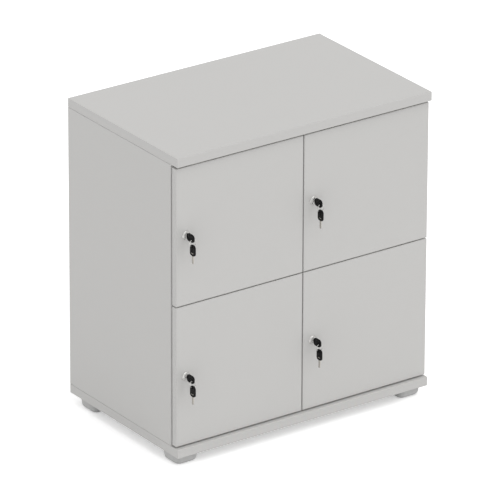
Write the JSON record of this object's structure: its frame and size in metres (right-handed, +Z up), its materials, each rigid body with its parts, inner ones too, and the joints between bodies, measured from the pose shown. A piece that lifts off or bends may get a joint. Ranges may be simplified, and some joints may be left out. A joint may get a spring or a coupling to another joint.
{
  "type": "locker",
  "caption": "Low wooden locker with a two-by-two grid of overlay doors on concealed hinges, cam locks with keys, and tapered feet.",
  "frame": {"origin": "on the floor, below the middle of the whole outline, keys included", "axes": "+Z up, -Y out of the doors, +X to the right as one faces the doors"},
  "size_m": [0.8, 0.532, 0.867],
  "materials": {
    "board": "particle board faced and edged with light grey melamine, satin",
    "foot_plastic": "moulded grey plastic, fine grain",
    "hinge_nickel": "pressed steel, nickel plated",
    "lock_nickel": "die-cast, bright nickel plated",
    "key_black": "black moulded head on a nickel-plated blade",
    "ring_steel": "bright steel wire"
  },
  "bodies": {
    "carcass": {"top_panel": "board", "base_panel": "board", "left_side_panel": "board", "right_side_panel": "board", "centre_partition": "board", "left_shelf": "board", "right_shelf": "board", "back_panel": "board", "foot_front_left": "foot_plastic", "foot_front_right": "foot_plastic", "foot_rear_left": "foot_plastic", "foot_rear_right": "foot_plastic", "hinge_arm_top_upper_left": "hinge_nickel", "hinge_plate_top_upper_left": "hinge_nickel", "hinge_arm_bottom_upper_left": "hinge_nickel", "hinge_plate_bottom_upper_left": "hinge_nickel", "hinge_arm_top_upper_right": "hinge_nickel", "hinge_plate_top_upper_right": "hinge_nickel", "hinge_arm_bottom_upper_right": "hinge_nickel", "hinge_plate_bottom_upper_right": "hinge_nickel", "hinge_arm_top_lower_left": "hinge_nickel", "hinge_plate_top_lower_left": "hinge_nickel", "hinge_arm_bottom_lower_left": "hinge_nickel", "hinge_plate_bottom_lower_left": "hinge_nickel", "hinge_arm_top_lower_right": "hinge_nickel", "hinge_plate_top_lower_right": "hinge_nickel", "hinge_arm_bottom_lower_right": "hinge_nickel", "hinge_plate_bottom_lower_right": "hinge_nickel"},
    "door_upper_left": {"door_upper_left": "board", "hinge_cup_top_upper_left": "hinge_nickel", "hinge_cup_bottom_upper_left": "hinge_nickel", "lock_housing_upper_left": "lock_nickel"},
    "plug_upper_left": {"lock_plug_upper_left": "lock_nickel"},
    "key_upper_left": {"key_upper_left": "key_black"},
    "ring_upper_left": {"key_ring_upper_left": "ring_steel"},
    "spare_upper_left": {"spare_key_upper_left": "key_black"},
    "door_upper_right": {"door_upper_right": "board", "hinge_cup_top_upper_right": "hinge_nickel", "hinge_cup_bottom_upper_right": "hinge_nickel", "lock_housing_upper_right": "lock_nickel"},
    "plug_upper_right": {"lock_plug_upper_right": "lock_nickel"},
    "key_upper_right": {"key_upper_right": "key_black"},
    "ring_upper_right": {"key_ring_upper_right": "ring_steel"},
    "spare_upper_right": {"spare_key_upper_right": "key_black"},
    "door_lower_left": {"door_lower_left": "board", "hinge_cup_top_lower_left": "hinge_nickel", "hinge_cup_bottom_lower_left": "hinge_nickel", "lock_housing_lower_left": "lock_nickel"},
    "plug_lower_left": {"lock_plug_lower_left": "lock_nickel"},
    "key_lower_left": {"key_lower_left": "key_black"},
    "ring_lower_left": {"key_ring_lower_left": "ring_steel"},
    "spare_lower_left": {"spare_key_lower_left": "key_black"},
    "door_lower_right": {"door_lower_right": "board", "hinge_cup_top_lower_right": "hinge_nickel", "hinge_cup_bottom_lower_right": "hinge_nickel", "lock_housing_lower_right": "lock_nickel"},
    "plug_lower_right": {"lock_plug_lower_right": "lock_nickel"},
    "key_lower_right": {"key_lower_right": "key_black"},
    "ring_lower_right": {"key_ring_lower_right": "ring_steel"},
    "spare_lower_right": {"spare_key_lower_right": "key_black"}
  },
  "joints": [
    {"name": "door_swing_upper_left", "type": "hinge", "parent": "carcass", "child": "door_upper_left", "pos_m": [-0.01, -0.21575, 0.647], "axis": [0, 0, 1], "range_deg": [0, 95]},
    {"name": "lock_turn_upper_left", "type": "hinge", "parent": "door_upper_left", "child": "plug_upper_left", "pos_m": [-0.3675, -0.224, 0.647], "axis": [0, 1, 0], "range_deg": [0, 90]},
    {"name": "key_pull_upper_left", "type": "slide", "parent": "plug_upper_left", "child": "key_upper_left", "axis": [0, -1, 0], "range_m": [0, 0.025]},
    {"name": "ring_swing_upper_left", "type": "hinge", "parent": "key_upper_left", "child": "ring_upper_left", "pos_m": [-0.3675, -0.2555, 0.64593], "axis": [1, 0, 0], "range_deg": [-45, 10]},
    {"name": "spare_swing_upper_left", "type": "hinge", "parent": "ring_upper_left", "child": "spare_upper_left", "pos_m": [-0.3675, -0.2555, 0.62653], "axis": [1, 0, 0], "range_deg": [-40, 15]},
    {"name": "door_swing_upper_right", "type": "hinge", "parent": "carcass", "child": "door_upper_right", "pos_m": [0.3895, -0.21575, 0.647], "axis": [0, 0, 1], "range_deg": [0, 95]},
    {"name": "lock_turn_upper_right", "type": "hinge", "parent": "door_upper_right", "child": "plug_upper_right", "pos_m": [0.032, -0.224, 0.647], "axis": [0, 1, 0], "range_deg": [0, 90]},
    {"name": "key_pull_upper_right", "type": "slide", "parent": "plug_upper_right", "child": "key_upper_right", "axis": [0, -1, 0], "range_m": [0, 0.025]},
    {"name": "ring_swing_upper_right", "type": "hinge", "parent": "key_upper_right", "child": "ring_upper_right", "pos_m": [0.032, -0.2555, 0.64593], "axis": [1, 0, 0], "range_deg": [-45, 10]},
    {"name": "spare_swing_upper_right", "type": "hinge", "parent": "ring_upper_right", "child": "spare_upper_right", "pos_m": [0.032, -0.2555, 0.62653], "axis": [1, 0, 0], "range_deg": [-40, 15]},
    {"name": "door_swing_lower_left", "type": "hinge", "parent": "carcass", "child": "door_lower_left", "pos_m": [-0.01, -0.21575, 0.253], "axis": [0, 0, 1], "range_deg": [0, 95]},
    {"name": "lock_turn_lower_left", "type": "hinge", "parent": "door_lower_left", "child": "plug_lower_left", "pos_m": [-0.3675, -0.224, 0.253], "axis": [0, 1, 0], "range_deg": [0, 90]},
    {"name": "key_pull_lower_left", "type": "slide", "parent": "plug_lower_left", "child": "key_lower_left", "axis": [0, -1, 0], "range_m": [0, 0.025]},
    {"name": "ring_swing_lower_left", "type": "hinge", "parent": "key_lower_left", "child": "ring_lower_left", "pos_m": [-0.3675, -0.2555, 0.25193], "axis": [1, 0, 0], "range_deg": [-45, 10]},
    {"name": "spare_swing_lower_left", "type": "hinge", "parent": "ring_lower_left", "child": "spare_lower_left", "pos_m": [-0.3675, -0.2555, 0.23253], "axis": [1, 0, 0], "range_deg": [-40, 15]},
    {"name": "door_swing_lower_right", "type": "hinge", "parent": "carcass", "child": "door_lower_right", "pos_m": [0.3895, -0.21575, 0.253], "axis": [0, 0, 1], "range_deg": [0, 95]},
    {"name": "lock_turn_lower_right", "type": "hinge", "parent": "door_lower_right", "child": "plug_lower_right", "pos_m": [0.032, -0.224, 0.253], "axis": [0, 1, 0], "range_deg": [0, 90]},
    {"name": "key_pull_lower_right", "type": "slide", "parent": "plug_lower_right", "child": "key_lower_right", "axis": [0, -1, 0], "range_m": [0, 0.025]},
    {"name": "ring_swing_lower_right", "type": "hinge", "parent": "key_lower_right", "child": "ring_lower_right", "pos_m": [0.032, -0.2555, 0.25193], "axis": [1, 0, 0], "range_deg": [-45, 10]},
    {"name": "spare_swing_lower_right", "type": "hinge", "parent": "ring_lower_right", "child": "spare_lower_right", "pos_m": [0.032, -0.2555, 0.23253], "axis": [1, 0, 0], "range_deg": [-40, 15]}
  ]
}
